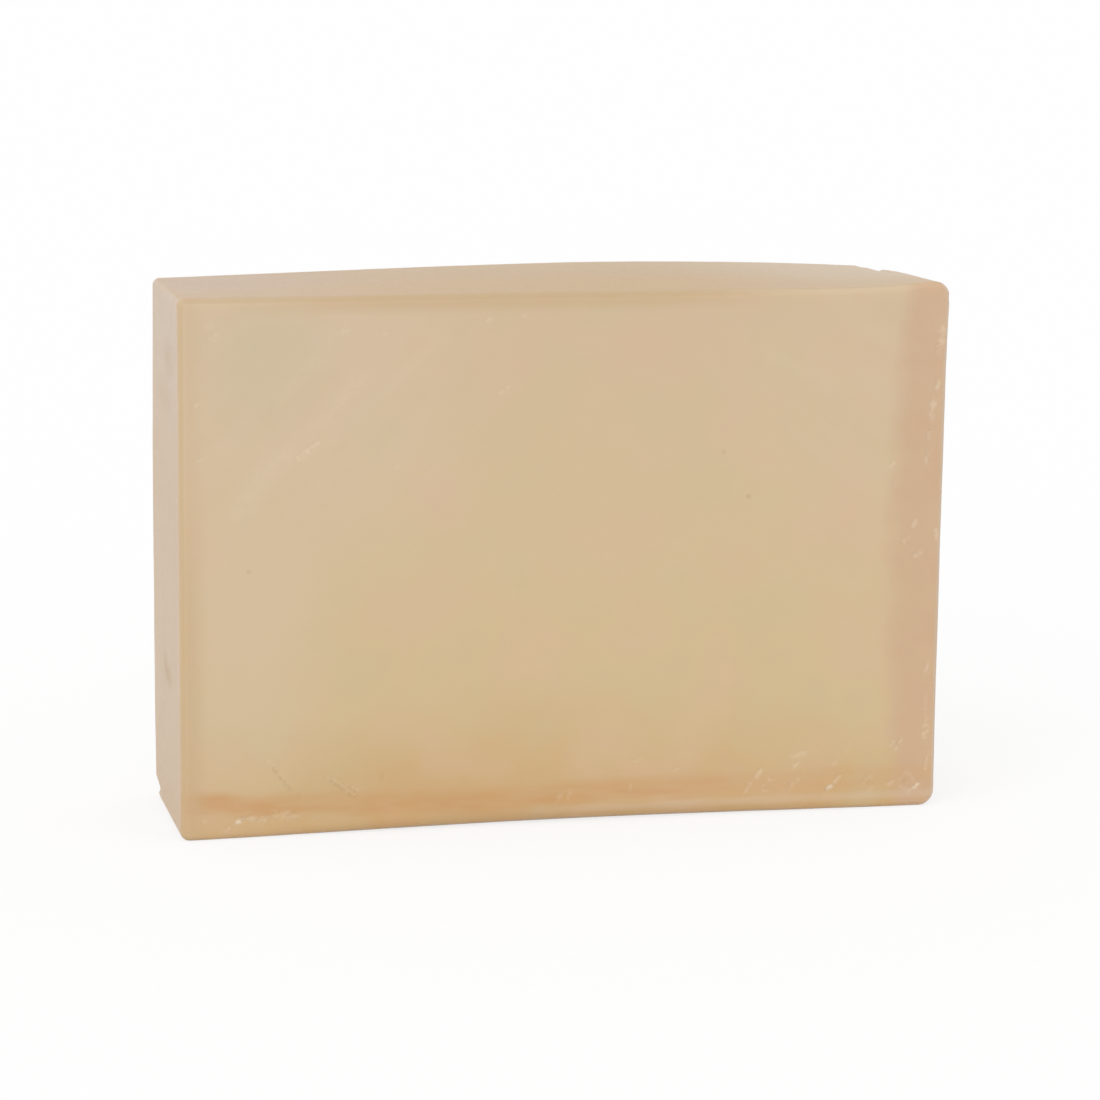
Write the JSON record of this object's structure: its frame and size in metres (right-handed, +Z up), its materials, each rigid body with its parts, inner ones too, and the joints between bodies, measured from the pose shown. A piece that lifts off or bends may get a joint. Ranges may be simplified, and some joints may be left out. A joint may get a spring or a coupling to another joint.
{
  "type": "bar of soap",
  "caption": "Plain translucent glycerin soap bar, a rectangular cast block with soft edges and a slightly bulged top, standing on its long narrow side.",
  "frame": {"origin": "middle of the flat long side that the bar stands on", "axes": "+X along the bar's length, +Y from the flat face to the poured face, +Z up"},
  "size_m": [0.0803, 0.02, 0.056],
  "materials": {
    "glycerin_soap": "cloudy translucent honey-beige glycerin soap with a soft satin surface"
  },
  "bodies": {
    "root": {"soap_bar": "glycerin_soap"}
  },
  "joints": []
}
